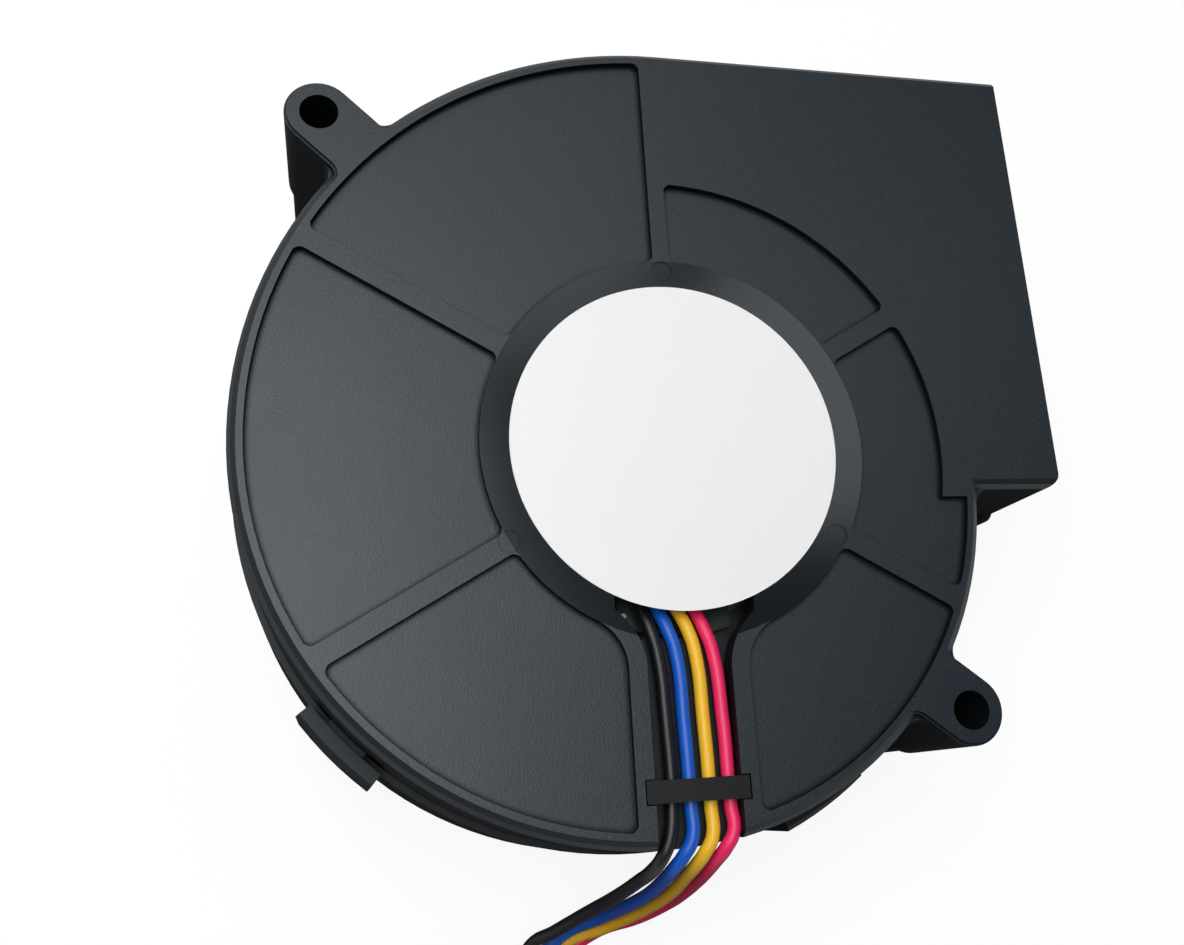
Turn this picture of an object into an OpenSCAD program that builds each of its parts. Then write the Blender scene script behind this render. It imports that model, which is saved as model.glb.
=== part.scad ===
// Centrifugal blower fan with a two-part scroll housing, an external-rotor motor and four leads.
// Millimetres. The origin is on the rotor axis at the inlet face. +Z runs up to the label face,
// +X out of the outlet, and +Y towards the duct's long wall. Seen from +Z the rotor turns clockwise.

/* [Scroll housing] */
// Height from the inlet face to the label face
height = 33; // [32:0.5:36]
// Height of the parting line between the halves
split_z = 16.5; // [15.5:0.5:17.5]
// Radius of the scroll's first arc, outside
scroll_r = 41; // [40:0.5:44]
// Growth of the radius from the first arc to the second
grow_1 = 4.3; // [3.5:0.1:5]
// Growth of the radius from the second arc to the third
grow_2 = 4.6; // [4:0.1:5.4]
// Centre of the first two arcs, across
arc_x = -3.7; // [-4.5:0.1:-3]
// Centre of the last two arcs, along the duct's width
arc_y = 1.4; // [1:0.1:2]
// Width of the duct outside, across the flow
duct_w = 56.7; // [55:0.1:58]
// Outlet face, from the rotor axis
outlet_x = 48.1; // [46:0.1:52]
// Thickness of the side walls
wall = 2.2; // [1.8:0.1:2.6]
// Thickness of the label-side plate
top_t = 2.6; // [2.4:0.1:3]
// Thickness of the inlet-side plate
base_t = 2.2; // [1.8:0.1:2.6]
// How far the inlet-side half stands out past the other
ledge = 0.7; // [0.3:0.1:1]
// Width of the bevel round the label face
bevel_w = 1; // [0.6:0.1:1.1]
// Height of that bevel
bevel_h = 1.1; // [0.8:0.1:1.4]
// Radius on the tongue's nose
tongue_r = 2; // [1.5:0.1:2.4]
// Depth of the lip that locates the halves
lip_h = 1.5; // [1:0.1:2]
// Thickness of that lip
lip_t = 0.9; // [0.7:0.1:1.1]
// Clearance round the lip
lip_gap = 0.1; // [0.05:0.05:0.2]

/* [Label face] */
// Depth of the panels between the ribs
recess_d = 0.9; // [0.5:0.1:1.1]
// Distance from the outline to the panels
rim_w = 1.75; // [1.4:0.05:2]
// Width of the ribs
rib_w = 2.4; // [1.8:0.1:3]
// Radius of the flat hub
hub_flat_r = 22.5; // [21.5:0.1:23.5]
// Outer radius of the two panels beside the outlet plate
arc_panel_r = 32.8; // [31:0.1:33.5]
// Radius of the panels' corners
corner_r = 1; // [0.6:0.1:1.4]
// Radius of the label
label_r = 19.2; // [18:0.1:19.5]
// Thickness of the label
label_t = 0.15; // [0.1:0.05:0.25]

/* [Lead channel] */
// Centre of the channel across
channel_x = -0.5; // [-1:0.1:0]
// Width of the channel
channel_w = 9.5; // [9:0.1:10]
// Depth of the channel below the label face
channel_d = 3; // [2.8:0.1:3.2]
// Wall between the channel and the panels
channel_rib = 2; // [1.6:0.1:2.4]
// Radius of the panel corner beside the channel's mouth
mouth_r = 6; // [5:0.1:7]
// Width of the window over the solder pads
window_w = 15.8; // [14.5:0.1:17]
// Distance from the rotor axis to the retainer's middle
strap_y = 38; // [36:0.5:39.5]
// Length of the retainer
strap_l = 11.3; // [10.8:0.1:12]
// Width of the retainer
strap_w = 2.35; // [2:0.05:2.8]
// Thickness of the retainer
strap_t = 1.2; // [0.8:0.1:1.4]

/* [Mounting lugs] */
// Radius of the mounting holes
lug_hole_r = 2.2; // [1.6:0.1:2.4]
// Radius of the bosses on the label-side half
lug_r = 3.95; // [3.7:0.05:4.4]
// Radius of the bosses on the inlet-side half
lug_low_r = 3.5; // [3.3:0.05:4]
// Fillet between a lug's straight sides and the scroll
lug_fillet = 2; // [1.6:0.1:3]
// Direction of the first lug from the third arc's centre
lug_1_angle = 136.8; // [132:0.1:141]
// Reach of the first lug outside the third arc
lug_1_reach = 6; // [5.5:0.1:6.6]
// Direction of the second lug from the first arc's centre
lug_2_angle = -38.5; // [-42:0.1:-36]
// Reach of the second lug outside the first arc
lug_2_reach = 4.7; // [4.4:0.1:5.4]

/* [Inlet] */
// Radius of the inlet
inlet_r = 28; // [26:0.1:29]
// Width of the collar round the inlet
collar_w = 1.6; // [1:0.1:2]
// Height of the collar inside the plate
collar_h = 1; // [0.6:0.1:1.2]

/* [Impeller] */
// Gap between the impeller and the tongue
tongue_gap = 2.6; // [2:0.1:4]
// Axial running gap to the housing and the board
run_gap = 0.8; // [0.6:0.1:1]
// Number of blades
blades = 43; // [31:1:47]
// Radial depth of the blades
blade_span = 5.4; // [4.6:0.1:6]
// Thickness of the blades
blade_t = 0.8; // [0.6:0.1:1]
// Sweep of each blade towards the direction of rotation
blade_sweep = 9; // [6:0.5:11]
// Thickness of the back disc
disc_t = 1.4; // [1.2:0.1:2]
// Width and height of the front ring
ring_w = 1.1; // [0.8:0.1:1.6]
// Height of the front ring
ring_h = 2.5; // [1.5:0.1:4]
// Thickness of the hub cup
cup_t = 1.2; // [1:0.1:1.4]

/* [Motor] */
// Outer radius of the rotor yoke
yoke_r = 19.55; // [19:0.05:19.8]
// Thickness of the yoke
yoke_t = 0.8; // [0.6:0.1:1]
// Thickness of the magnet ring
magnet_t = 2.1; // [1.6:0.1:2.4]
// Air gap between the magnet and the poles
air_gap = 0.4; // [0.3:0.05:0.6]
// Gap between the windings and the circuit board
board_gap = 2.8; // [1.6:0.1:4]
// Width of the stator arms
arm_w = 6; // [5:0.5:7]
// Thickness of the insulators
insulator_t = 1.4; // [1:0.1:1.6]
// Build of the windings above and below the insulators
coil_t = 2; // [1.4:0.1:2]
// Radius of the shaft
shaft_r = 1.5; // [1:0.25:1.5]
// Outer radius of the bearings
bearing_r = 4; // [4:0.1:4.4]
// Width of the bearings
bearing_w = 4; // [3:0.5:4]
// Wall of the bearing tube
tube_t = 1.2; // [1:0.1:1.5]
// Glue or push-fit clearance between turned parts
fit = 0.05; // [0.02:0.01:0.08]
// Thickness of the circuit board
pcb_t = 1; // [0.8:0.1:1.2]
// Radius of the circuit board
pcb_r = 18; // [17:0.1:18.5]
// Radius of its tab under the window
tab_r = 21.2; // [20.8:0.1:21.6]

/* [Leads] */
// Outer diameter of a lead
lead_d = 1.5; // [1.3:0.1:1.5]
// Mean radius of the coil
coil_mean_r = 9; // [8.5:0.1:9.5]
// Width and height of the coil's section
coil_s = 7.2; // [7:0.1:7.6]
// Pitch of the connector's ways
pitch = 2.54; // [2:0.01:2.54]

/* [Hidden] */
$fn = 96;
e = 0.01;
// A fillet's circle is this much larger than tangent, so that it cuts its neighbours cleanly
nick = 0.02;

// Scroll outline: three tangent arcs and the duct
r_1 = scroll_r;
r_2 = r_1 + grow_1;
r_3 = r_2 + grow_2;
c_1 = [arc_x, arc_y - grow_1];
c_2 = [arc_x, arc_y];
c_3 = [arc_x + grow_2, arc_y];
duct_hi = arc_y + r_3;
duct_lo = duct_hi - duct_w;
lug_1 = c_3 + (r_3 + lug_1_reach) * [cos(lug_1_angle), sin(lug_1_angle)];
lug_2 = c_1 + (r_1 + lug_2_reach) * [cos(lug_2_angle), sin(lug_2_angle)];
outlet_corner_r = 1.8;

// Heights, from the inlet face up
collar_top = base_t + collar_h;
imp_z = collar_top + run_gap;
cup_z = imp_z + 1;
yoke_z = cup_z + cup_t + 0.4 + fit;
yoke_in = yoke_z + yoke_t;
tube_z = yoke_in + 4.55;
core_z = tube_z;
plate_z = height - top_t;
shoulder_h = 2.2;
pcb_top = plate_z - shoulder_h;
pcb_z = pcb_top - pcb_t;
core_h = pcb_z - board_gap - coil_t - insulator_t - core_z;
disc_top = pcb_z - run_gap;
disc_z = disc_top - disc_t;
yoke_top = disc_top - 1.8;
tube_top = plate_z - 0.6;
lower_bearing_z = tube_z + 0.5;
upper_bearing_z = tube_top - 0.8 - bearing_w;
channel_z = height - channel_d;
pad_t = 1.6;

// Radii, from the housing in
impeller_r = arc_x + scroll_r - wall - tongue_gap;
cup_in_r = yoke_r + fit;
cup_r = cup_in_r + cup_t;
magnet_r = yoke_r - yoke_t - fit;
stator_r = magnet_r - magnet_t - air_gap;
tube_r = bearing_r + tube_t;
boss_r = tube_r + fit + 2.75;
core_hub_r = tube_r + 3.8;
shoe_t = 2.3;
skin_t = 0.8;
bush_r = 4;
ball_r = (bearing_r - shaft_r) * 0.316;
ball_pitch_r = (bearing_r + shaft_r) / 2;

// Channel, window and retainer
channel_0 = channel_x - channel_w / 2;
channel_1 = channel_x + channel_w / 2;
panel_0 = channel_0 - channel_rib;
panel_1 = channel_1 + channel_rib;
mouth_0 = [panel_0 - mouth_r, -sqrt(pow(hub_flat_r + mouth_r, 2) - pow(panel_0 - mouth_r, 2))];
mouth_1 = [panel_1 + mouth_r, -sqrt(pow(hub_flat_r + mouth_r, 2) - pow(panel_1 + mouth_r, 2))];
window_r = hub_flat_r - 0.7;
window_y = -14;
channel_y = -18;
strap_z = height - 0.05 - strap_t;
strap_gap = 0.15;

// Snaps between the halves: [arc centre, arc radius, direction]
snaps = [[c_2, r_2, 224], [c_1, r_1, 300], [c_3, r_3, 118]];
snap_x = 34;
snap_l = 10.6;
snap_t = 2;
snap_z0 = split_z - 7.5;
snap_z1 = split_z + 5.5;

// Leads: points on the four routes, from the solder pads to the coil
black_route = [[-5.2, -15.6, 28.95], [-4.9, -18.2, 29.8], [-4.3, -20.4, 30.8], [-3.6, -23.2, 31],
    [-3.1, -31, 31], [-3.1, -39.8, 31], [-3.6, -42.8, 31.1], [-4.4, -44.6, 30.6], [-5.1, -45.8, 29.1],
    [-6, -47, 25.9], [-7.4, -49, 19], [-9.6, -50.9, 13], [-12.7, -53.1, 8], [-14.9, -54.4, 5.8],
    [-17, -58.5, 4.3], [-16.4, -65, 4], [-15.6, -71.5, 3.3]];
blue_route = [[-3.4, -15.6, 28.95], [-3, -18.2, 29.8], [-2.3, -20.5, 30.8], [-1.5, -23.2, 31],
    [-1.1, -31, 31], [-1, -39.8, 31], [-1.1, -42.8, 31.1], [-2.1, -44.6, 30.6], [-2.8, -45.8, 29.1],
    [-3, -46.9, 26], [-3.6, -48.8, 20], [-4.9, -50.4, 14], [-6.8, -52, 7.5], [-11, -54, 3.9],
    [-15, -58.5, 2.7], [-14.5, -65, 3.2], [-13.9, -71.5, 3.3]];
yellow_route = [[-1.3, -15.6, 28.95], [-0.8, -18.2, 29.8], [0, -20.6, 30.8], [0.7, -23.2, 31],
    [1.1, -31, 31], [1.2, -39.8, 31], [1.1, -42.8, 31.1], [0.3, -44.4, 30.6], [-0.3, -45.6, 29.1],
    [-0.6, -46.8, 26], [-0.9, -48.7, 20.5], [-1.9, -50.6, 14], [-3.7, -52.2, 8.5], [-6.1, -53.5, 4.6],
    [-10.2, -54.9, 2.5], [-13.6, -58.5, 1.2], [-15.6, -65, 1], [-15.6, -71.5, 1.6]];
red_route = [[0.6, -15.6, 28.95], [1.2, -18.2, 29.8], [1.9, -20.6, 30.8], [2.7, -23.2, 31],
    [3.3, -31, 31], [3.4, -39.8, 31], [3.5, -42.4, 31.1], [2.6, -44.1, 30.6], [2, -45.2, 29.1],
    [1.7, -46.5, 26], [2, -47.8, 20.8], [2, -49.4, 14.6], [1.6, -50.6, 10], [-1.2, -52.6, 4.2],
    [-6.6, -54.3, 1.4], [-10.8, -57.4, 1], [-13.2, -65, 1], [-13.9, -71.5, 1.6]];
coil_c = [-25, -75];
coil_z = 0.6;
coil_r = coil_mean_r + coil_s / 2;
tail_y = coil_c.y - coil_mean_r - coil_s / 4;
plug_x = -46;
plug_l = 11.2;
plug_w = 4 * pitch + 0.2;
plug_h = 5.8;
tail_gap = 0.85;
way_y = [for (i = [0:3]) tail_y + (i - 1.5) * pitch];

function dir(a) = [cos(a), sin(a)];
function left(a) = [-sin(a), cos(a)];
function unit(v) = v / norm(v);

// The far point that is d to the left of the ray at angle a, on the circle about o
function ray_hit(a, d, o, r) =
    let (q = d * left(a) - o, b = q * dir(a))
    d * left(a) + (sqrt(b * b - q * q + r * r) - b) * dir(a);

// A quarter of a cone frustum that starts at angle a
module quarter(r0, r1, h, a) {
    rotate([0, 0, a])
        rotate_extrude(angle = 90)
            polygon([[0, 0], [r0, 0], [r1, h], [0, h]]);
}

// A solid with the scroll's outline, grown by g0 at z0 and by g1 at z1
module scroll(z0, z1, g0, g1, x_end = outlet_x) {
    h = z1 - z0;
    translate([c_3.x, c_3.y, z0]) quarter(r_3 + g0, r_3 + g1, h, 90);
    translate([c_2.x, c_2.y, z0]) quarter(r_2 + g0, r_2 + g1, h, 180);
    translate([c_1.x, c_1.y, z0]) quarter(r_1 + g0, r_1 + g1, h, 270);
    translate([c_2.x, c_1.y, z0]) cube([grow_2, grow_1, h]);
    translate([c_3.x, 0, z0])
        rotate([90, 0, 90])
            linear_extrude(x_end - c_3.x)
                polygon([[duct_lo - g0, 0], [duct_hi + g0, 0], [duct_hi + g1, h], [duct_lo - g1, h]]);
}

// The fill of radius c between the first arc and the duct's short wall
module tongue_fill(g, c) {
    y = duct_lo - g - c;
    f = [c_1.x + sqrt(pow(r_1 + g + c, 2) - pow(y - c_1.y, 2)), y];
    t = c_1 + (f - c_1) * (r_1 + g) / (r_1 + g + c);
    difference() {
        polygon([t, f, [f.x, y + c], [f.x, y + c + 1], [t.x - 1, y + c + 1], [t.x - 1, t.y]]);
        translate(f) circle(c + nick);
    }
}

// The air space, grown by g from the outline
module cavity(z0, z1, g) {
    scroll(z0, z1, g, g, outlet_x + 2);
    translate([0, 0, z0])
        linear_extrude(z1 - z0)
            tongue_fill(g, tongue_r);
}

// A lug's outline: a boss with parallel sides that are filleted into the arc of radius r about o
module lug_2d(p, o, r, boss, blend) {
    h = boss + blend;
    x = sqrt(pow(r + blend, 2) - h * h);
    d = norm(p - o);
    translate(p) circle(boss);
    translate(o)
        rotate(atan2(p.y - o.y, p.x - o.x))
            difference() {
                polygon([[x * 0.85, -h * 0.85], [x, -h], [x, -boss], [d, -boss], [d, boss], [x, boss],
                    [x, h], [x * 0.85, h * 0.85]]);
                for (s = [-1, 1]) translate([x, s * h]) circle(blend + nick);
            }
}

// Both lugs; edge is the relief on their outline
module lugs(z0, z1, g, boss, edge = 0) {
    translate([0, 0, z0])
        linear_extrude(z1 - z0) {
            lug_2d(lug_1, c_3, r_3 + g - edge, boss - edge, lug_fillet + edge);
            lug_2d(lug_2, c_1, r_1 + g - edge, boss - edge, lug_fillet + edge);
        }
}

module lug_holes() {
    for (p = [lug_1, lug_2])
        translate([p.x, p.y, -1])
            cylinder(r = lug_hole_r, h = height + 2);
}

// The outlet's rounded corner, as the piece to remove
module outlet_corner(g) {
    translate([outlet_x - outlet_corner_r, duct_lo - g, -1])
        difference() {
            translate([0, -1, 0]) cube([outlet_corner_r + 1, outlet_corner_r + 1, height + 2]);
            translate([0, outlet_corner_r, -1]) cylinder(r = outlet_corner_r, h = height + 4);
        }
}

// A profile [distance out, height] carried along the three arcs' snaps and the duct's wall
module along_snaps(profile, length) {
    for (s = snaps) {
        sweep = 2 * asin(length / 2 / s[1]);
        translate([s[0].x, s[0].y, 0])
            rotate([0, 0, s[2] - sweep / 2])
                rotate_extrude(angle = sweep)
                    polygon([for (q = profile) [s[1] + q[0], q[1]]]);
    }
    translate([snap_x - length / 2, 0, 0])
        rotate([90, 0, 90])
            linear_extrude(length)
                polygon([for (q = profile) [duct_hi + q[0], q[1]]]);
}

// One corner of a panel, as the piece to remove: the ray at angle a offset by d, and the
// circle about o. side is the panel's side of the ray; within is 1 inside the circle, -1 outside.
module corner_cut(a, d, side, o, r, within) {
    f = ray_hit(a, d + side * corner_r, o, r - within * corner_r);
    k = ray_hit(a, d, o, r);
    difference() {
        polygon([f, f - 2 * side * corner_r * left(a), 2 * k - f,
            o + (f - o) * (r + within * corner_r) / (r - within * corner_r)]);
        translate(f) circle(corner_r + nick);
    }
}

// The outline of the scroll, grown by g
module outline_2d(g) {
    translate(c_3) intersection() {
        circle(r_3 + g);
        translate([-99, 0]) square(99);
    }
    translate(c_2) intersection() {
        circle(r_2 + g);
        translate([-99, -99]) square(99);
    }
    translate(c_1) intersection() {
        circle(r_1 + g);
        translate([0, -99]) square(99);
    }
    translate([c_2.x, c_1.y]) square([grow_2, grow_1]);
    translate([c_3.x, c_1.y]) square([arc_panel_r - c_3.x, 2 * arc_panel_r]);
}

// The part of its children between two rays, each offset to its left, outside the hub
module between(a0, d0, a1, d1) {
    difference() {
        intersection() {
            children();
            rotate(a0) translate([0, d0]) square(99);
            rotate(a1) translate([0, d1 - 99]) square(99);
        }
        circle(hub_flat_r);
    }
}

// The six sunk panels
module panels_2d() {
    w = rib_w / 2;
    // From the rib over the axis round to the channel
    difference() {
        between(90, 1.3, 150, -w) outline_2d(-rim_w);
        corner_cut(90, 1.3, 1, c_3, r_3 - rim_w, 1);
        corner_cut(90, 1.3, 1, [0, 0], hub_flat_r, -1);
        corner_cut(150, -w, -1, c_3, r_3 - rim_w, 1);
        corner_cut(150, -w, -1, [0, 0], hub_flat_r, -1);
    }
    difference() {
        between(150, w, 210, -w) outline_2d(-rim_w);
        corner_cut(150, w, 1, c_3, r_3 - rim_w, 1);
        corner_cut(150, w, 1, [0, 0], hub_flat_r, -1);
        corner_cut(210, -w, -1, c_2, r_2 - rim_w, 1);
        corner_cut(210, -w, -1, [0, 0], hub_flat_r, -1);
    }
    difference() {
        between(210, w, 270, panel_0) outline_2d(-rim_w);
        corner_cut(210, w, 1, c_2, r_2 - rim_w, 1);
        corner_cut(210, w, 1, [0, 0], hub_flat_r, -1);
        corner_cut(270, panel_0, -1, c_2, r_2 - rim_w, 1);
        mouth_cut(mouth_0, panel_0);
    }
    difference() {
        between(270, panel_1, 330, -w) outline_2d(-rim_w);
        corner_cut(270, panel_1, 1, c_1, r_1 - rim_w, 1);
        corner_cut(330, -w, -1, c_1, r_1 - rim_w, 1);
        corner_cut(330, -w, -1, [0, 0], hub_flat_r, -1);
        mouth_cut(mouth_1, panel_1);
    }
    // Beside the outlet plate
    difference() {
        between(330, w, 30, -w) {
            circle(arc_panel_r);
            intersection() {
                outline_2d(-rim_w);
                translate([0, -60]) square([60, 60 + duct_lo - 1.1]);
            }
        }
        corner_cut(330, w, 1, c_1, r_1 - rim_w, 1);
        corner_cut(330, w, 1, [0, 0], hub_flat_r, -1);
        corner_cut(30, -w, -1, [0, 0], arc_panel_r, 1);
        corner_cut(30, -w, -1, [0, 0], hub_flat_r, -1);
    }
    difference() {
        between(30, w, 90, -0.7) circle(arc_panel_r);
        corner_cut(30, w, 1, [0, 0], arc_panel_r, 1);
        corner_cut(30, w, 1, [0, 0], hub_flat_r, -1);
        corner_cut(90, -0.7, -1, [0, 0], arc_panel_r, 1);
        corner_cut(90, -0.7, -1, [0, 0], hub_flat_r, -1);
    }
}

// The large corner of a panel beside the channel's mouth, as the piece to remove
module mouth_cut(f, edge) {
    difference() {
        polygon([f, [edge, f.y], [edge + sign(edge - f.x), f.y], [edge, -hub_flat_r * 0.8],
            f * hub_flat_r / norm(f) * 0.98, f * hub_flat_r / norm(f)]);
        translate(f) circle(mouth_r + nick);
    }
}

// The channel's outline with its flared mouth
module channel_2d() {
    translate([channel_0, -60]) square([channel_w, 60 + channel_y]);
    for (f = [mouth_0, mouth_1])
        difference() {
            translate([f.x < channel_x ? channel_x - window_w / 2 : channel_x, f.y])
                square([window_w / 2, channel_y - f.y]);
            translate(f) circle(mouth_r + channel_rib + nick);
        }
}

// The window over the solder pads
module window_2d() {
    difference() {
        intersection() {
            circle(window_r);
            translate([channel_x - window_w / 2, -30]) square([window_w, 30 + window_y]);
        }
        for (f = [mouth_0, mouth_1]) translate(f) circle(mouth_r + channel_rib + nick);
    }
}

module motor_side_housing() {
    color("#3c3f44")
    difference() {
        union() {
            difference() {
                union() {
                    scroll(split_z, height - bevel_h, 0, 0);
                    scroll(height - bevel_h, height - bevel_h / 3, 0, -bevel_w * 0.45);
                    scroll(height - bevel_h / 3, height, -bevel_w * 0.45, -bevel_w);
                    scroll(split_z - lip_h, split_z, lip_t - wall, lip_t - wall);
                    translate([0, 0, split_z])
                        linear_extrude(height - bevel_h - split_z)
                            tongue_fill(0, tongue_r);
                    lugs(split_z, height - bevel_h, 0, lug_r);
                    lugs(height - bevel_h, height - 0.35, -bevel_w, lug_r);
                    lugs(height - 0.35, height, -bevel_w, lug_r, 0.3);
                    // Catches for the other half's loops
                    along_snaps([[-0.5, snap_z1 - 4.5], [0, snap_z1 - 4.5], [snap_t, snap_z1 - 2.2],
                        [snap_t, snap_z1 - 1.7], [-0.5, snap_z1 - 1.7]], snap_l * 0.5);
                }
                cavity(split_z - lip_h - 1, plate_z, -wall);
            }
            // Seat of the bearing tube and the board
            translate([0, 0, upper_bearing_z + 0.5])
                cylinder(r = boss_r, h = plate_z + 0.5 - upper_bearing_z - 0.5);
            translate([0, 0, pcb_top])
                cylinder(r = boss_r + 1, h = shoulder_h + 0.5);
            // Floor under the lead channel
            translate([channel_0 - 1.75, -r_2 + arc_y + 1, channel_z - pad_t])
                cube([channel_w + 3.5, r_2 - arc_y - window_r - 1, pad_t + 0.5]);
        }
        translate([0, 0, height - recess_d])
            linear_extrude(recess_d + 1)
                panels_2d();
        translate([0, 0, channel_z])
            linear_extrude(channel_d + 1)
                channel_2d();
        translate([0, 0, pcb_top])
            linear_extrude(height)
                window_2d();
        translate([channel_x - strap_l / 2 - strap_gap, -strap_y - strap_w / 2 - strap_gap, strap_z])
            cube([strap_l + 2 * strap_gap, strap_w + 2 * strap_gap, 5]);
        translate([0, 0, height - label_t]) cylinder(r = label_r + fit, h = 1);
        translate([0, 0, 1]) cylinder(r = tube_r + fit, h = tube_top - 1);
        cylinder(r = 4.5, h = height + 1);
        lug_holes();
        outlet_corner(0);
        // Ejector-pin marks in the panels
        for (p = [[-0.3, 21.2], [-19.6, -11.2], [18.2, -11]])
            translate([p.x, p.y, height - 0.1]) cylinder(r = 1.25, h = 1);
    }
}

module inlet_side_housing() {
    color("#43464b")
    difference() {
        union() {
            difference() {
                union() {
                    scroll(0, 0.6, ledge - 0.6, ledge);
                    scroll(0.6, split_z, ledge, ledge);
                    translate([0, 0, 0.6])
                        linear_extrude(split_z - 0.6)
                            tongue_fill(ledge, tongue_r);
                    lugs(0, split_z, ledge, lug_low_r);
                }
                cavity(base_t, split_z + 1, -wall);
                cavity(split_z - lip_h - lip_gap, split_z + 1, lip_t + lip_gap - wall);
            }
            translate([0, 0, base_t - 0.5]) cylinder(r = inlet_r + collar_w, h = collar_h + 0.5);
            // Snap loops, free above the parting line
            difference() {
                along_snaps([[ledge - 0.4, snap_z0 - 2.5], [ledge, snap_z0 - 2.5],
                    [ledge + snap_t, snap_z0], [ledge + snap_t, snap_z1 - 0.5],
                    [ledge + snap_t - 0.5, snap_z1], [ledge + 0.05, snap_z1],
                    [ledge + 0.05, split_z], [ledge - 0.4, split_z]], snap_l);
                along_snaps([[ledge - 2, snap_z1 - 4.6], [ledge + snap_t + 1, snap_z1 - 4.6],
                    [ledge + snap_t + 1, snap_z1 - 1.6], [ledge - 2, snap_z1 - 1.6]], snap_l * 0.56);
            }
        }
        translate([0, 0, -1]) cylinder(r = inlet_r, h = base_t + 5);
        lug_holes();
        outlet_corner(ledge);
    }
}

module wire_retainer() {
    color("#2b2d31")
    difference() {
        translate([channel_x - strap_l / 2, -strap_y - strap_w / 2, strap_z])
            cube([strap_l, strap_w, strap_t]);
        // Relief on the underside over the leads
        translate([channel_0 + 0.5, -strap_y, strap_z - 0.6])
            rotate([0, 90, 0])
                cylinder(r = 0.7, h = channel_w - 1, $fn = 48);
    }
}

module label() {
    color("#e8eaec")
    translate([0, 0, height - label_t])
        cylinder(r = label_r, h = label_t);
}

// A blade's middle line at the fraction t of its span, and its two sides
function blade_mid(t) =
    let (r = impeller_r - 0.35 - blade_span * (1 - t), a = -blade_sweep * t * t)
    r * dir(a);
function blade_side(t, s) =
    let (v = unit(blade_mid(t + 0.01) - blade_mid(t - 0.01)))
    blade_mid(t) + s * blade_t / 2 * [-v.y, v.x];
blade_steps = 5;
blade_outline = concat([for (i = [0:blade_steps]) blade_side(i / blade_steps, 1)],
    [for (i = [blade_steps:-1:0]) blade_side(i / blade_steps, -1)]);

// Forward-curved blades between a front ring and the disc that carries the hub cup
module impeller() {
    color("#26282b") {
        rotate_extrude()
            polygon([[0, cup_z], [cup_r - 1, cup_z], [cup_r, cup_z + 1], [cup_r, disc_z],
                [impeller_r, disc_z], [impeller_r, disc_top], [cup_in_r, disc_top],
                [cup_in_r, yoke_z - fit], [bush_r + fit, yoke_z - fit],
                [bush_r + fit, cup_z + 0.9], [0, cup_z + 0.9]]);
        translate([0, 0, imp_z])
            linear_extrude(disc_z + 0.2 - imp_z)
                for (i = [0:blades - 1])
                    rotate(i * 360 / blades)
                        polygon(blade_outline);
        translate([0, 0, imp_z])
            rotate_extrude()
                translate([impeller_r - ring_w, 0])
                    square([ring_w, ring_h]);
    }
}

module rotor_yoke() {
    color("#9a9ca0")
    rotate_extrude()
        polygon([[bush_r + fit, yoke_z], [yoke_r - 1, yoke_z], [yoke_r, yoke_z + 1],
            [yoke_r, yoke_top], [yoke_r - yoke_t, yoke_top], [yoke_r - yoke_t, yoke_in],
            [bush_r + fit, yoke_in]]);
}

module rotor_magnet() {
    color("#3a3634")
    translate([0, 0, yoke_in + 1.5])
        difference() {
            cylinder(r = magnet_r, h = yoke_top - 0.6 - yoke_in - 1.5);
            translate([0, 0, -1]) cylinder(r = magnet_r - magnet_t, h = height);
        }
}

module shaft() {
    color("silver")
    difference() {
        translate([0, 0, cup_z + 1.5]) cylinder(r = shaft_r, h = plate_z + 0.2 - cup_z - 1.5);
        // Groove of the retaining ring
        translate([0, 0, upper_bearing_z + bearing_w + 0.05])
            difference() {
                cylinder(r = shaft_r + 1, h = 0.45);
                translate([0, 0, -1]) cylinder(r = shaft_r - 0.3, h = 3);
            }
    }
}

module shaft_bush() {
    color("goldenrod")
    rotate_extrude()
        polygon([[shaft_r + 0.01, cup_z + 0.9], [bush_r, cup_z + 0.9], [bush_r, yoke_in + 1.6],
            [shaft_r + 0.9, yoke_in + 1.6], [shaft_r + 0.9, lower_bearing_z - 0.6],
            [shaft_r + 0.01, lower_bearing_z - 0.6]]);
}

// Conical washer that loads the bearings
module preload_washer() {
    color("lightsteelblue")
    translate([0, 0, lower_bearing_z - 0.6])
        rotate_extrude()
            polygon([[shaft_r + 0.1, 0], [shaft_r + 0.35, 0], [shaft_r + 0.6, 0.4],
                [shaft_r + 0.6, 0.6], [shaft_r + 0.4, 0.6], [shaft_r + 0.1, 0.25]]);
}

module retaining_ring() {
    color("dimgray")
    translate([0, 0, upper_bearing_z + bearing_w + 0.05])
        difference() {
            cylinder(r = shaft_r + 0.8, h = 0.45);
            translate([0, 0, -1]) cylinder(r = shaft_r - 0.3, h = 3);
            translate([0, -0.7, -1]) cube([9, 1.4, 3]);
        }
}

// Half of a race's section is cut by the ball groove
module race(z, r0, r1) {
    rotate_extrude()
        difference() {
            translate([r0, z]) square([r1 - r0, bearing_w]);
            translate([ball_pitch_r, z + bearing_w / 2]) circle(ball_r + 0.02);
        }
}

module outer_race(z) {
    color("gainsboro") race(z, ball_pitch_r + ball_r * 0.75, bearing_r - 0.01);
}

module inner_race(z) {
    color("gainsboro") race(z, shaft_r + 0.01, ball_pitch_r - ball_r * 0.75);
}

module balls(z) {
    color("silver")
    for (i = [0:6])
        rotate(i * 360 / 7)
            translate([ball_pitch_r, 0, z + bearing_w / 2])
                sphere(r = ball_r, $fn = 32);
}

module upper_bearing_outer_race() {
    outer_race(upper_bearing_z);
}

module upper_bearing_inner_race() {
    inner_race(upper_bearing_z);
}

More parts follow.
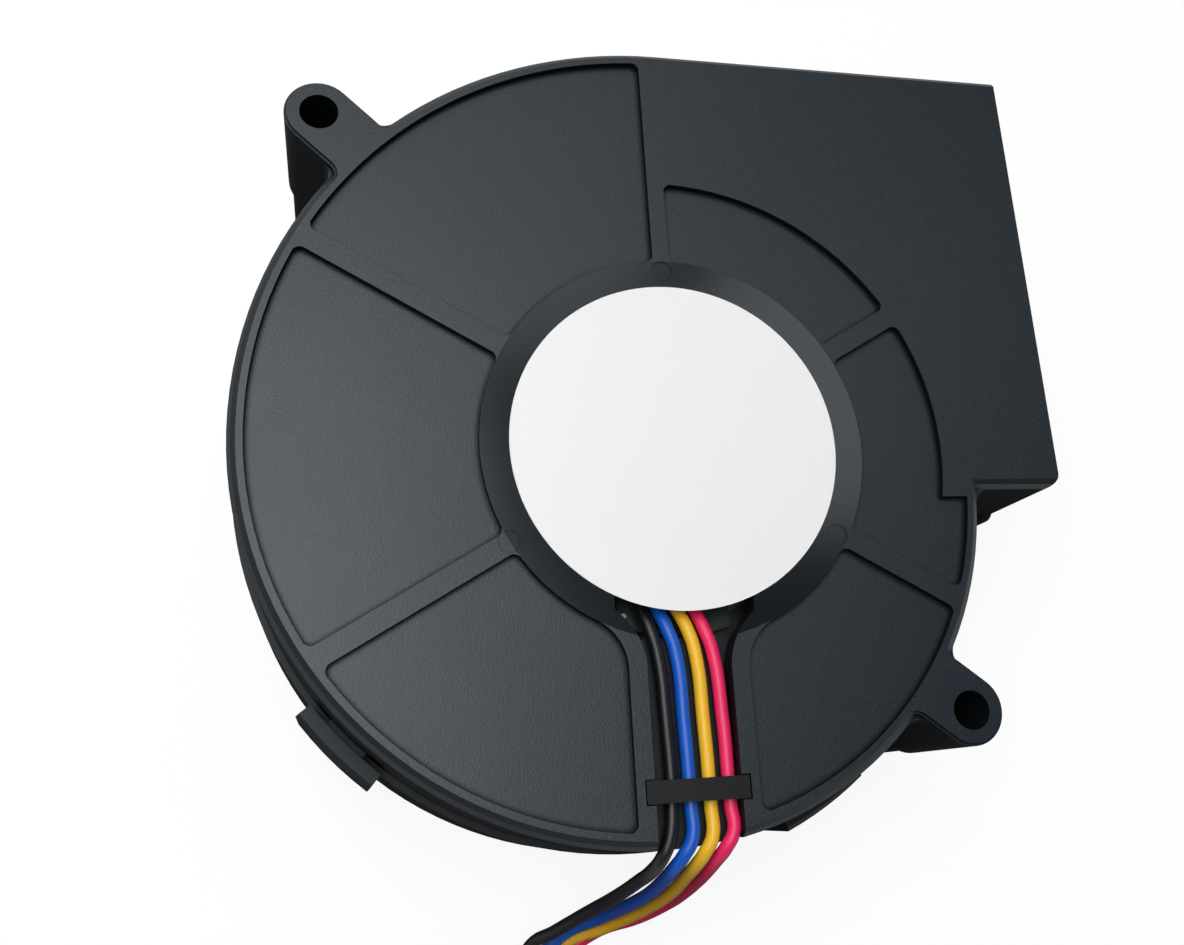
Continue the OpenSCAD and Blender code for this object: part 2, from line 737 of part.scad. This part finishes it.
module upper_bearing_balls() {
    balls(upper_bearing_z);
}

module lower_bearing_outer_race() {
    outer_race(lower_bearing_z);
}

module lower_bearing_inner_race() {
    inner_race(lower_bearing_z);
}

module lower_bearing_balls() {
    balls(lower_bearing_z);
}

module bearing_shields() {
    color("silver")
    for (z = [lower_bearing_z, upper_bearing_z], up = [0, 1])
        translate([0, 0, z + up * (bearing_w - 0.35) + 0.1])
            difference() {
                cylinder(r = ball_pitch_r + ball_r * 0.75, h = 0.15);
                translate([0, 0, -1])
                    cylinder(r = ball_pitch_r - ball_r * 0.75 + 0.15, h = bearing_w);
            }
}

// Tube with a seat for each bearing
module bearing_tube() {
    color("goldenrod")
    rotate_extrude()
        polygon([[bearing_r, tube_z], [tube_r, tube_z], [tube_r, tube_top], [bearing_r, tube_top],
            [bearing_r, upper_bearing_z], [bearing_r - 0.6, upper_bearing_z],
            [bearing_r - 0.6, lower_bearing_z + bearing_w], [bearing_r, lower_bearing_z + bearing_w]]);
}

// Four poles in plan; grow widens the arms, shoes stop at r_out
module poles_2d(grow, r_hub, r_out, shoe) {
    difference() {
        union() {
            circle(r_hub);
            for (a = [0:90:270])
                rotate(a)
                    translate([0, -arm_w / 2 - grow]) square([r_out - shoe / 2, arm_w + 2 * grow]);
            intersection() {
                difference() {
                    circle(r_out);
                    circle(r_out - shoe);
                }
                for (a = [0:90:270])
                    rotate(a)
                        polygon([[0, 0], 40 * dir(-38), [60, 0], 40 * dir(38)]);
            }
        }
        circle(tube_r + fit);
    }
}

module stator_core() {
    color("slategray")
    translate([0, 0, core_z])
        linear_extrude(core_h)
            poles_2d(0, core_hub_r, stator_r, shoe_t);
}

// Plate over the core's end and skins that line the arms half way
module insulator() {
    skin_0 = core_hub_r + 0.2;
    skin_1 = sqrt(pow(stator_r - shoe_t - 0.05, 2) - pow(arm_w / 2 + skin_t, 2));
    linear_extrude(insulator_t)
        poles_2d(skin_t, core_hub_r + 0.4, stator_r - shoe_t + 1, 1);
    translate([0, 0, insulator_t - 0.2])
        linear_extrude(core_h / 2 + 0.1)
            difference() {
                for (a = [0:90:270])
                    rotate(a)
                        translate([skin_0, -arm_w / 2 - skin_t])
                            square([skin_1 - skin_0, arm_w + 2 * skin_t]);
                for (a = [0:90:270])
                    rotate(a)
                        translate([0, -arm_w / 2 - 0.02]) square([stator_r, arm_w + 0.04]);
            }
}

module lower_insulator() {
    color("white")
    translate([0, 0, core_z - insulator_t]) insulator();
}

module upper_insulator() {
    color("white")
    translate([0, 0, core_z + core_h + insulator_t])
        mirror([0, 0, 1]) insulator();
}

// A winding round each insulated arm
module stator_coils() {
    inner = arm_w / 2 + skin_t + 0.02;
    z0 = core_z - insulator_t;
    h = core_h + 2 * insulator_t;
    x0 = core_hub_r + 0.6;
    x1 = sqrt(pow(stator_r - shoe_t - 0.15, 2) - pow(inner + coil_t, 2));
    color("#b5622d")
    for (a = [0:90:270])
        rotate(a)
            difference() {
                translate([x0, -inner - coil_t, z0 - coil_t])
                    cube([x1 - x0, 2 * (inner + coil_t), h + 2 * coil_t]);
                translate([x0 - 1, -inner, z0]) cube([x1 - x0 + 2, 2 * inner, h]);
            }
}

module winding_pins() {
    color("silver")
    for (a = [45:90:315])
        rotate(a)
            translate([core_hub_r - 0.4, 0, core_z + core_h + insulator_t])
                cylinder(r = 0.35, h = pcb_top - 0.1 - core_z - core_h - insulator_t);
}

module circuit_board() {
    color("#2f6b3f")
    translate([0, 0, pcb_z])
        linear_extrude(pcb_t)
            difference() {
                union() {
                    circle(pcb_r);
                    intersection() {
                        circle(tab_r);
                        translate([channel_x - 6.5, -30]) square([13, 30]);
                    }
                }
                circle(boss_r + 0.1);
                for (a = [45:90:315])
                    rotate(a) translate([core_hub_r - 0.4, 0]) circle(0.45);
            }
}

module driver_chip() {
    color("#1d1d1f") {
        translate([10, -2.5, pcb_top]) cube([4, 5, 1.5]);
    }
}

module hall_sensor() {
    color("#1d1d1f")
    rotate(20)
        translate([magnet_r - magnet_t + 0.1, -2, pcb_z - 1.2]) cube([1.2, 4, 1.2]);
}

module chip_components() {
    color("#8a7a5c")
    for (p = [[-12, 3], [-12, 6], [-13, -2], [4, 12], [8, 10.5]])
        translate([p.x - 0.8, p.y - 0.4, pcb_top]) cube([1.6, 0.8, 0.6]);
}

// Domed joints where the leads meet the board, and one spare pad
module solder_joints() {
    color("silver") {
        for (p = [black_route[0], blue_route[0], yellow_route[0], red_route[0]])
            translate([p.x, p.y + 0.2, pcb_top])
                cylinder(r1 = 0.85, r2 = 0.6, h = 0.9);
        translate([-6.6, -19, pcb_top]) cylinder(r1 = 0.6, r2 = 0.35, h = 0.7);
    }
}

// A tube with eight sides along a route that never runs parallel to side
module tube(route, side = [1, 0, 0]) {
    n = len(route) - 1;
    function ahead(i) = unit(route[min(i + 1, n)] - route[max(i - 1, 0)]);
    rings = [for (i = [0:n])
        let (t = ahead(i), s = unit(cross(side, t)), u = cross(t, s))
        for (k = [0:7]) route[i] + lead_d / 2 * (cos(45 * k) * s + sin(45 * k) * u)];
    sides = [for (i = [0:n - 1], k = [0:7])
        [8 * i + k, 8 * i + 8 + k, 8 * i + 8 + (k + 1) % 8, 8 * i + (k + 1) % 8]];
    polyhedron(rings, concat([[for (k = [0:7]) k]], sides, [[for (k = [7:-1:0]) 8 * n + k]]));
}

module black_lead() {
    color("#17181a") tube(black_route);
}

module blue_lead() {
    color("#0f50c0") tube(blue_route);
}

module yellow_lead() {
    color("#f0b932") tube(yellow_route);
}

module red_lead() {
    color("#eb3264") tube(red_route);
}

// The coil's section, w wide and tall, with rounded corners
module coil_section(w, c) {
    translate([-w / 2 + c, -w / 2]) square([w - 2 * c, w]);
    translate([-w / 2, -w / 2 + c]) square([w, w - 2 * c]);
    for (x = [-1, 1], y = [-1, 1])
        translate([x * (w / 2 - c), y * (w / 2 - c)]) circle(c);
}

// The spare length, coiled
module lead_coil() {
    color("#3a3c40")
    translate([coil_c.x, coil_c.y, coil_z + coil_s / 2])
        rotate_extrude()
            translate([coil_mean_r, 0]) coil_section(coil_s, 1.2);
}

module coil_tie() {
    color("white")
    translate([coil_c.x, coil_c.y, coil_z + coil_s / 2])
        rotate([0, 0, 172])
            rotate_extrude(angle = 16)
                translate([coil_mean_r, 0])
                    difference() {
                        coil_section(coil_s + 2 * coil_z, 1.2 + coil_z);
                        coil_section(coil_s, 1.2);
                    }
}

// Ends of the four leads, from the coil to the connector: [colour, way, row, layer]
module lead_tails() {
    tails = [["#17181a", 3, 1, 1], ["#0f50c0", 0, -1, 1], ["#f0b932", 2, 1, -1],
        ["#eb3264", 1, -1, -1]];
    for (t = tails) {
        y = tail_y + t[2] * tail_gap;
        z = coil_z + coil_s * 0.75 + t[3] * tail_gap;
        way = way_y[t[1]];
        color(t[0])
            tube([[-30, y, z], [-35, y * 0.7 + way * 0.3, z - 0.6],
                [-40.5, y * 0.1 + way * 0.9, plug_h / 2 + 0.4], [plug_x, way, plug_h / 2]], [0, 0, 1]);
    }
}

module connector_housing() {
    color("ivory")
    difference() {
        translate([plug_x - plug_l, tail_y - plug_w / 2, 0]) cube([plug_l, plug_w, plug_h]);
        // Cavities for the terminals, open at the mating face
        for (y = way_y)
            translate([plug_x - plug_l - 1, y - 0.9, plug_h / 2 - 0.9]) cube([plug_l - 1, 1.8, 1.8]);
    }
}

module connector_terminals() {
    color("khaki")
    for (y = way_y)
        difference() {
            translate([plug_x - plug_l + 0.6, y - 0.8, plug_h / 2 - 0.9])
                cube([plug_l - 2.6, 1.6, 1.6]);
            translate([plug_x - plug_l, y - 0.45, plug_h / 2 - 0.55]) cube([6, 0.9, 0.9]);
        }
}

motor_side_housing();
inlet_side_housing();
wire_retainer();
label();
impeller();
rotor_yoke();
rotor_magnet();
shaft();
shaft_bush();
preload_washer();
retaining_ring();
upper_bearing_outer_race();
upper_bearing_inner_race();
upper_bearing_balls();
lower_bearing_outer_race();
lower_bearing_inner_race();
lower_bearing_balls();
bearing_shields();
bearing_tube();
stator_core();
upper_insulator();
lower_insulator();
stator_coils();
winding_pins();
circuit_board();
driver_chip();
hall_sensor();
chip_components();
solder_joints();
black_lead();
blue_lead();
yellow_lead();
red_lead();
lead_coil();
coil_tie();
lead_tails();
connector_housing();
connector_terminals();
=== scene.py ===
import bpy
import bmesh
import math
from mathutils import Matrix, Vector


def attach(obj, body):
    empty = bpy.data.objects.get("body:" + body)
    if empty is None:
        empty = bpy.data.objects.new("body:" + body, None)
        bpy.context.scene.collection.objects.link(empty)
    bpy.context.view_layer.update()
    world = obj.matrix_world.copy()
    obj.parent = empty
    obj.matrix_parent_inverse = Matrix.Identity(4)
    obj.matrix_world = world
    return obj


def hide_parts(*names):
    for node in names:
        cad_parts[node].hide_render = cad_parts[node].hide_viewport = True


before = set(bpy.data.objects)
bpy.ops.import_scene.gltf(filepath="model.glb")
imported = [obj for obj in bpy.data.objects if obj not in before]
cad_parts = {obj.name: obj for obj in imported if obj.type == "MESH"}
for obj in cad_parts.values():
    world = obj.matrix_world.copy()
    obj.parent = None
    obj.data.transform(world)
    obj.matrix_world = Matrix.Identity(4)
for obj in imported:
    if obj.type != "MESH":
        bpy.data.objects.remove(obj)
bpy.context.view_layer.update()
scene = bpy.context.scene
mm = 0.001
print("frame loaded")


# Camera
view = {
    "place": (-37.26, -38.22, 159.75),
    "right": (0.972066, -0.063458, 0.225965),
    "down": (0.004318, -0.957758, -0.287543),
    "lens": 36.72,
    "shift": (-0.0338, -0.0253),
}


def addCamera(v):
    data = bpy.data.cameras.new("camera")
    data.sensor_width = 36
    data.lens = v["lens"]
    data.shift_x, data.shift_y = v["shift"]
    data.clip_start = 0.005
    data.clip_end = 20
    camera = bpy.data.objects.new("camera", data)
    scene.collection.objects.link(camera)
    x = Vector(v["right"]).normalized()
    y = -Vector(v["down"]).normalized()
    z = x.cross(y)
    turn = Matrix((x, y, z)).transposed().to_4x4()
    camera.matrix_world = Matrix.Translation(Vector(v["place"]) * mm) @ turn
    scene.camera = camera


addCamera(view)


# Leads: each route from its solder joint to the coil, in metres
leads = {
    "diameter": 0.0015,
    "length": 0.30,
    "routes": {
        "black": [(-0.0052, -0.0156, 0.02895), (-0.0049, -0.0182, 0.0298), (-0.0043, -0.0204, 0.0308),
                  (-0.0036, -0.0232, 0.031), (-0.0031, -0.031, 0.031), (-0.0031, -0.0398, 0.031),
                  (-0.0036, -0.0428, 0.0311), (-0.0044, -0.0446, 0.0306), (-0.0051, -0.0458, 0.0291),
                  (-0.006, -0.047, 0.0259), (-0.0074, -0.049, 0.019), (-0.0096, -0.0509, 0.013),
                  (-0.0127, -0.0531, 0.008), (-0.0149, -0.0544, 0.0058), (-0.017, -0.0585, 0.0043),
                  (-0.0164, -0.065, 0.004), (-0.0156, -0.0715, 0.0033)],
        "blue": [(-0.0034, -0.0156, 0.02895), (-0.003, -0.0182, 0.0298), (-0.0023, -0.0205, 0.0308),
                 (-0.0015, -0.0232, 0.031), (-0.0011, -0.031, 0.031), (-0.001, -0.0398, 0.031),
                 (-0.0011, -0.0428, 0.0311), (-0.0021, -0.0446, 0.0306), (-0.0028, -0.0458, 0.0291),
                 (-0.003, -0.0469, 0.026), (-0.0036, -0.0488, 0.02), (-0.0049, -0.0504, 0.014),
                 (-0.0068, -0.052, 0.0075), (-0.011, -0.054, 0.0039), (-0.015, -0.0585, 0.0027),
                 (-0.0145, -0.065, 0.0032), (-0.0139, -0.0715, 0.0033)],
        "yellow": [(-0.0013, -0.0156, 0.02895), (-0.0008, -0.0182, 0.0298), (0, -0.0206, 0.0308),
                   (0.0007, -0.0232, 0.031), (0.0011, -0.031, 0.031), (0.0012, -0.0398, 0.031),
                   (0.0011, -0.0428, 0.0311), (0.0003, -0.0444, 0.0306), (-0.0003, -0.0456, 0.0291),
                   (-0.0006, -0.0468, 0.026), (-0.0009, -0.0487, 0.0205), (-0.0019, -0.0506, 0.014),
                   (-0.0037, -0.0522, 0.0085), (-0.0061, -0.0535, 0.0046), (-0.0102, -0.0549, 0.0025),
                   (-0.0136, -0.0585, 0.0012), (-0.0156, -0.065, 0.001), (-0.0156, -0.0715, 0.0016)],
        "red": [(0.0006, -0.0156, 0.02895), (0.0012, -0.0182, 0.0298), (0.0019, -0.0206, 0.0308),
                (0.0027, -0.0232, 0.031), (0.0033, -0.031, 0.031), (0.0034, -0.0398, 0.031),
                (0.0035, -0.0424, 0.0311), (0.0026, -0.0441, 0.0306), (0.002, -0.0452, 0.0291),
                (0.0017, -0.0465, 0.026), (0.002, -0.0478, 0.0208), (0.002, -0.0494, 0.0146),
                (0.0016, -0.0506, 0.01), (-0.0012, -0.0526, 0.0042), (-0.0066, -0.0543, 0.0014),
                (-0.0108, -0.0574, 0.001), (-0.0132, -0.065, 0.001), (-0.0139, -0.0715, 0.0016)],
    },
    # Place of each lead in the bundle: outward and upward, and its way in the connector
    "lay": {
        "black": (-0.8, 0.85, 3),
        "blue": (0.8, 0.85, 0),
        "yellow": (-0.8, -0.85, 2),
        "red": (0.8, -0.85, 1),
    },
    "coilCentre": (-25, -75),
    "turns": 3.25,
    "perTurn": 16,
    "inner": 7.2,
    "outer": 10.8,
    "low": 2.4,
    "high": 6.0,
    "tailY": -85.8,
    "plugZ": 2.9,
    "pitch": 2.54,
    # The tails: place along x, share of the way to the connector, and height above coil or plug
    "tailStart": ((-30, 0, 0), (-35, 0.3, -0.6)),
    "tailEnd": ((-40.5, 0.9, 0.4), (-46, 1, 0)),
}


def ease(t, start, end):
    s = min(1, max(0, (t - start) / (end - start)))
    return s * s * (3 - 2 * s)


def coilPoints(v, name):
    out, up, way = v["lay"][name]
    step = v["outer"] - v["inner"]
    points = []
    count = round(v["turns"] * v["perTurn"])
    for i in range(1, count + 1):
        t = i / v["perTurn"]
        r = v["outer"] - step * ease(t, 0.75, 1) + step * ease(t, 2.25, 2.5) + out
        z = v["low"] + step * ease(t, 1.5, 1.75) + up
        a = -2 * math.pi * t
        x = v["coilCentre"][0] + r * math.cos(a)
        y = v["coilCentre"][1] + r * math.sin(a)
        points.append(Vector((x, y, z)) * mm)
    y = v["tailY"] - out
    z = v["high"] + up
    wayY = v["tailY"] + (way - 1.5) * v["pitch"]
    for base, rows in ((z, v["tailStart"]), (v["plugZ"], v["tailEnd"])):
        for x, mix, rise in rows:
            points.append(Vector((x, y * (1 - mix) + wayY * mix, base + rise)) * mm)
    return points


def addLead(v, name):
    curve = bpy.data.curves.new("lead_" + name, "CURVE")
    curve.dimensions = "3D"
    curve.bevel_depth = 1
    curve.bevel_resolution = 5
    curve.resolution_u = 6
    curve.use_fill_caps = True
    points = [Vector(p) for p in v["routes"][name]] + coilPoints(v, name)
    spline = curve.splines.new("BEZIER")
    spline.bezier_points.add(len(points) - 1)
    for place, point in zip(points, spline.bezier_points):
        point.co = place
        point.handle_left_type = point.handle_right_type = "AUTO"
        point.radius = v["diameter"] / 2
    lead = bpy.data.objects.new("lead_" + name, curve)
    scene.collection.objects.link(lead)
    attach(lead, "housing")
    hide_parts(name + "_lead")
    return lead


leadPieces = {name: addLead(leads, name) for name in leads["routes"]}
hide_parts("lead_coil", "lead_tails")
print("leads laid")


# Shaders
class Socket:
    def __init__(self, nodes, out):
        self.nodes = nodes
        self.out = out

    def do(self, operation, *values):
        return self.nodes.node("ShaderNodeMath", {"operation": operation}, slots=dict(enumerate(values)))

    def __add__(self, other):
        return self.do("ADD", self, other)

    def __radd__(self, other):
        return self.do("ADD", other, self)

    def __sub__(self, other):
        return self.do("SUBTRACT", self, other)

    def __rsub__(self, other):
        return self.do("SUBTRACT", other, self)

    def __mul__(self, other):
        return self.do("MULTIPLY", self, other)

    def __rmul__(self, other):
        return self.do("MULTIPLY", other, self)

    def __pow__(self, other):
        return self.do("POWER", self, other)

    def above(self, edge):
        return self.do("GREATER_THAN", self, edge)

    def below(self, edge):
        return self.do("LESS_THAN", self, edge)

    def most(self, other):
        return self.do("MAXIMUM", self, other)

    def ramp(self, low, high):
        return self.nodes.node("ShaderNodeMapRange", {"clamp": True}, Value=self, From_Min=low, From_Max=high)


class Nodes:
    def __init__(self, tree):
        self.tree = tree
        self.tree.nodes.clear()

    def feed(self, slot, value):
        if isinstance(value, Socket):
            self.tree.links.new(value.out, slot)
        elif isinstance(value, (tuple, list)) and slot.type == "RGBA" and len(value) == 3:
            slot.default_value = (*value, 1)
        else:
            slot.default_value = value

    # Inputs go by name, or by number in slots where names repeat
    def node(self, kind, settings=None, output=0, slots=None, **sockets):
        node = self.tree.nodes.new(kind)
        for key, value in (settings or {}).items():
            setattr(node, key, value)
        for number, value in (slots or {}).items():
            self.feed(node.inputs[number], value)
        for key, value in sockets.items():
            self.feed(node.inputs[key.replace("_", " ")], value)
        return Socket(self, node.outputs[output]) if node.outputs else node

    def mix(self, share, first, second):
        return self.node("ShaderNodeMix", {"data_type": "RGBA"}, 2, {0: share, 6: first, 7: second})

    def split(self, vector):
        parts = self.node("ShaderNodeSeparateXYZ", Vector=vector).out.node.outputs
        return [Socket(self, part) for part in parts]

    # Rays that see the backdrop, with glossy ones weakened by the share given
    def backdrop(self, share):
        rays = self.node("ShaderNodeLightPath").out.node.outputs
        kinds = ("Is Camera Ray", "Is Glossy Ray", "Is Transmission Ray")
        camera, glossy, through = (Socket(self, rays[kind]) for kind in kinds)
        return (camera + glossy * share + through).ramp(0, 1)


class Shade(Nodes):
    def __init__(self, name, **surface):
        self.material = bpy.data.materials.new(name)
        self.material.use_nodes = True
        super().__init__(self.material.node_tree)
        self.shader = self.node("ShaderNodeBsdfPrincipled")
        self.end = self.node("ShaderNodeOutputMaterial", slots={0: self.shader})
        self.set(**surface)

    def set(self, **sockets):
        for key, value in sockets.items():
            self.feed(self.shader.out.node.inputs[key.replace("_", " ")], value)

    # A second surface, shown by the share that is given
    def blend(self, share, **surface):
        first = self.shader
        self.shader = self.node("ShaderNodeBsdfPrincipled")
        self.set(**surface)
        both = self.node("ShaderNodeMixShader", slots={0: share, 1: first, 2: self.shader})
        self.feed(self.end.inputs[0], both)

    def place(self):
        return self.node("ShaderNodeTexCoord", output=3)

    def axes(self):
        return self.split(self.place())

    def facing(self):
        return self.split(self.node("ShaderNodeNewGeometry", output=1))

    def noise(self, scale, detail=2.0, **more):
        return self.node("ShaderNodeTexNoise", Vector=self.place(), Scale=scale, Detail=detail, **more)

    def bump(self, height, strength, distance):
        return self.node("ShaderNodeBump", Height=height, Strength=strength, Distance=distance)


def paint(material, *names):
    for name in names:
        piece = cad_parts[name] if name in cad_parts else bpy.data.objects[name]
        piece.data.materials.clear()
        piece.data.materials.append(material)


# Housing: fine sandy texture on the label face, smooth hub ring, dull walls, painted shade in the corners of
# the sunk panels
housing = {
    "hubTop": 0.03255,
    "faceLow": 0.03165,
    "ledgeTop": 0.031,
    "hubRadius": 0.0225,
    "flatness": 0.9,
    "steepness": 0.2,
    "face": (0.0066, 0.0108, 0.0172),
    "smooth": (0.0055, 0.0080, 0.0112),
    "grain": (0.030, 0.038, 0.050),
    "shine": (0.88, 0.97, 1.0),
    "wall": (0.0070, 0.0080, 0.0090),
    "faceRoughness": 0.40,
    "hubRoughness": 0.155,
    "wallRoughness": 0.5,
    "roughnessDrift": 0.06,
    "wallShine": 0.08,
    "ledgeDullness": 0.6,
    "grainScale": 4200,
    "grainShare": 0.5,
    "grainDepth": 0.00006,
    "grainStrength": 0.5,
    "smoothGrain": 0.04,
    "cloudScale": 70,
    "cloudShare": 0.3,
    # Painted shade in the corners of the sunk panels: reach of the occlusion, its ramp and its strength
    "cornerWidth": 0.0008,
    "cornerShade": (0.12, 0.42),
    "cornerShadeStrength": 0.92,
}


def housingShade(v, name):
    shade = Shade(name, Specular_IOR_Level=0.5, Specular_Tint=v["shine"])
    x, y, z = shade.axes()
    nx, ny, nz = shade.facing()
    radius = (x * x + y * y) ** 0.5
    flat = nz.above(v["flatness"]) * z.above(v["faceLow"])
    ring = flat * radius.below(v["hubRadius"]) * z.above(v["hubTop"])
    face = flat - ring
    grain = shade.noise(v["grainScale"], 2, Roughness=0.7)
    cloud = shade.noise(v["cloudScale"], 3)
    tone = shade.mix(face, v["smooth"], v["face"])
    tone = shade.mix(grain.ramp(0.5, 0.8) * face * v["grainShare"], tone, v["grain"])
    tone = shade.mix(cloud.ramp(0.35, 0.75) * v["cloudShare"], tone, v["smooth"])
    rough = v["faceRoughness"] + ring * (v["hubRoughness"] - v["faceRoughness"])
    drift = (cloud * v["roughnessDrift"] - v["roughnessDrift"] / 2) * (1 - ring)
    height = grain * (v["smoothGrain"] + face * (1 - v["smoothGrain"]))
    bump = shade.bump(height, v["grainStrength"], v["grainDepth"])
    shade.set(Base_Color=tone, Roughness=rough + drift, Normal=bump)
    # Dull on walls and on ledges below the face; painted shade in the corners of the sunk panels, found by an
    # Ambient Occlusion node, darkens them with the same dull surface
    settings = {"samples": 6, "only_local": True}
    corner = shade.node("ShaderNodeAmbientOcclusion", settings, 1, Distance=v["cornerWidth"])
    dullAndShade = nz.below(v["steepness"]).most(z.below(v["ledgeTop"]) * v["ledgeDullness"])
    # Painted shade: the corners of the sunk panels take the darker, duller surface
    dullAndShade = dullAndShade.most((1 - corner).ramp(*v["cornerShade"]) * v["cornerShadeStrength"])
    shade.blend(dullAndShade, Base_Color=shade.mix(cloud, v["wall"], v["smooth"]), Roughness=v["wallRoughness"],
                Specular_IOR_Level=v["wallShine"], Normal=bump)
    return shade.material


plastic = housingShade(housing, "housing_plastic")
paint(plastic, "motor_side_housing", "inlet_side_housing")


# The other finishes: colour, roughness, grain per metre, grain depth, colour spread, nodes
finishes = {
    "retainer_plastic": ((0.008, 0.009, 0.010), 0.5, 1600, 0.00008, 0.3, ["wire_retainer"]),
    "impeller_plastic": ((0.016, 0.017, 0.019), 0.36, 900, 0.00003, 0.15, ["impeller"]),
    "label_film": ((0.87, 0.87, 0.87), 0.36, 1500, 0.000004, 0.01, ["label"]),
    "yoke_steel": ((0.52, 0.52, 0.53), 0.34, 1500, 0.00001, 0.15, ["rotor_yoke"]),
    "ferrite": ((0.05, 0.045, 0.043), 0.6, 900, 0.00003, 0.15, ["rotor_magnet"]),
    "ground_steel": ((0.62, 0.62, 0.63), 0.16, 3000, 0.000004, 0.05, [
        "shaft", "upper_bearing_outer_race", "upper_bearing_inner_race", "upper_bearing_balls",
        "lower_bearing_outer_race", "lower_bearing_inner_race", "lower_bearing_balls"]),
    "spring_steel": ((0.38, 0.39, 0.41), 0.3, 2000, 0.000005, 0.15, [
        "preload_washer", "retaining_ring", "bearing_shields"]),
    "turned_brass": ((0.66, 0.47, 0.19), 0.28, 2500, 0.000006, 0.08, [
        "shaft_bush", "bearing_tube", "connector_terminals"]),
    "lamination": ((0.32, 0.33, 0.35), 0.42, 1800, 0.00001, 0.15, ["stator_core"]),
    "natural_nylon": ((0.78, 0.77, 0.70), 0.42, 900, 0.00001, 0.04, [
        "upper_insulator", "lower_insulator", "connector_housing", "coil_tie"]),
    "winding_copper": ((0.60, 0.25, 0.10), 0.3, 2600, 0.00004, 0.15, ["stator_coils"]),
    "solder_mask": ((0.006, 0.024, 0.014), 0.3, 600, 0.00001, 0.15, ["circuit_board"]),
    "chip_black": ((0.015, 0.015, 0.016), 0.45, 900, 0.00003, 0.15, ["driver_chip", "hall_sensor"]),
    "ceramic": ((0.36, 0.29, 0.2), 0.4, 900, 0.00003, 0.15, ["chip_components"]),
    "solder": ((0.62, 0.63, 0.64), 0.2, 800, 0.00004, 0.1, ["solder_joints", "winding_pins"]),
    "black_sleeve": ((0.004, 0.004, 0.005), 0.42, 1200, 0.00001, 0.05, ["lead_black"]),
    "blue_sleeve": ((0.002, 0.10, 0.56), 0.42, 1200, 0.00001, 0.05, ["lead_blue"]),
    "yellow_sleeve": ((0.92, 0.52, 0.02), 0.42, 1200, 0.00001, 0.05, ["lead_yellow"]),
    "red_sleeve": ((0.88, 0.02, 0.13), 0.42, 1200, 0.00001, 0.05, ["lead_red"]),
}
metals = [
    "yoke_steel", "ground_steel", "spring_steel", "turned_brass", "lamination", "winding_copper", "solder"]


def plainShade(name, colour, roughness, grain, depth, spread):
    shade = Shade(name, Metallic=1.0 if name in metals else 0.0)
    shade.set(Specular_IOR_Level=0.25 if name == "retainer_plastic" else 0.5)
    speck = shade.noise(grain, 3)
    cloud = shade.noise(90, 2)
    darker = tuple(c * (1 - 2 * spread) for c in colour)
    shade.set(Base_Color=shade.mix(cloud, colour, darker), Roughness=roughness + speck * 0.1 - 0.05,
              Normal=shade.bump(speck, 0.3, depth))
    return shade.material


for name, (*finish, nodes) in finishes.items():
    paint(plainShade(name, *finish), *nodes)
print("materials set")


# Floor and light
studio = {
    "floorSize": 1.6,
    "floor": (0.12, 0.12, 0.12),
    "backdrop": (0.89, 0.89, 0.89),
    # Radii between which reflections of the floor go from dark to white
    "shade": (0.07, 0.17),
    "sky": (0.07, 0.07, 0.07),
    # Heights of a ray between which its reflection goes from white to the sky's own grey
    "horizon": (0.05, 0.5),
    "lightDistance": 0.45,
    # Each lamp's azimuth and elevation in degrees, width in metres and power in watts
    "lights": [
        (150, 70, 0.34, 0.58),
        (180, 70, 0.34, 0.38),
        (215, 78, 0.34, 0.48),
        (120, 70, 0.14, 0.16),
        (120, 40, 0.14, 0.18),
        (38, 60, 0.14, 0.09),
        (80, 60, 0.14, 0.07),
        (80, 50, 0.14, 0.05),
    ],
}


def addFloor(v):
    mesh = bpy.data.meshes.new("floor")
    build = bmesh.new()
    bmesh.ops.create_grid(build, x_segments=2, y_segments=2, size=v["floorSize"])
    build.to_mesh(mesh)
    build.free()
    floor = bpy.data.objects.new("floor", mesh)
    scene.collection.objects.link(floor)
    shade = Shade("floor", Roughness=0.8, Specular_IOR_Level=0.1, Emission_Strength=1.0)
    x, y, z = shade.axes()
    # The floor around the fan lies in its shade, so reflections darken there
    clear = ((x * x + y * y) ** 0.5).ramp(*v["shade"])
    shade.set(Base_Color=shade.mix(shade.noise(6, 2) * 0.05, v["floor"], (0.3, 0.3, 0.3)),
              Emission_Color=shade.mix(shade.backdrop(clear), (0, 0, 0), v["backdrop"]))
    mesh.materials.append(shade.material)


def addLights(v):
    for i, (azimuth, elevation, width, power) in enumerate(v["lights"]):
        data = bpy.data.lights.new("softbox_%d" % i, "AREA")
        data.shape = "DISK"
        data.size = width
        data.energy = power
        lamp = bpy.data.objects.new(data.name, data)
        scene.collection.objects.link(lamp)
        a, e = math.radians(azimuth), math.radians(elevation)
        aim = Vector((math.cos(e) * math.cos(a), math.cos(e) * math.sin(a), math.sin(e)))
        lamp.location = aim * v["lightDistance"]
        lamp.rotation_euler = (-lamp.location).to_track_quat("-Z", "Y").to_euler()


def addSky(v):
    world = bpy.data.worlds.new("sky")
    world.use_nodes = True
    sky = Nodes(world.node_tree)
    east, north, up = sky.split(sky.node("ShaderNodeTexCoord"))
    low = 1 - up.ramp(*v["horizon"])
    colour = sky.mix(sky.backdrop(low), v["sky"], (1, 1, 1))
    glow = sky.node("ShaderNodeBackground", Color=colour, Strength=1.0)
    sky.node("ShaderNodeOutputWorld", slots={0: glow})
    scene.world = world


addFloor(studio)
addLights(studio)
addSky(studio)
scene.view_settings.view_transform = "Standard"
print("studio ready")
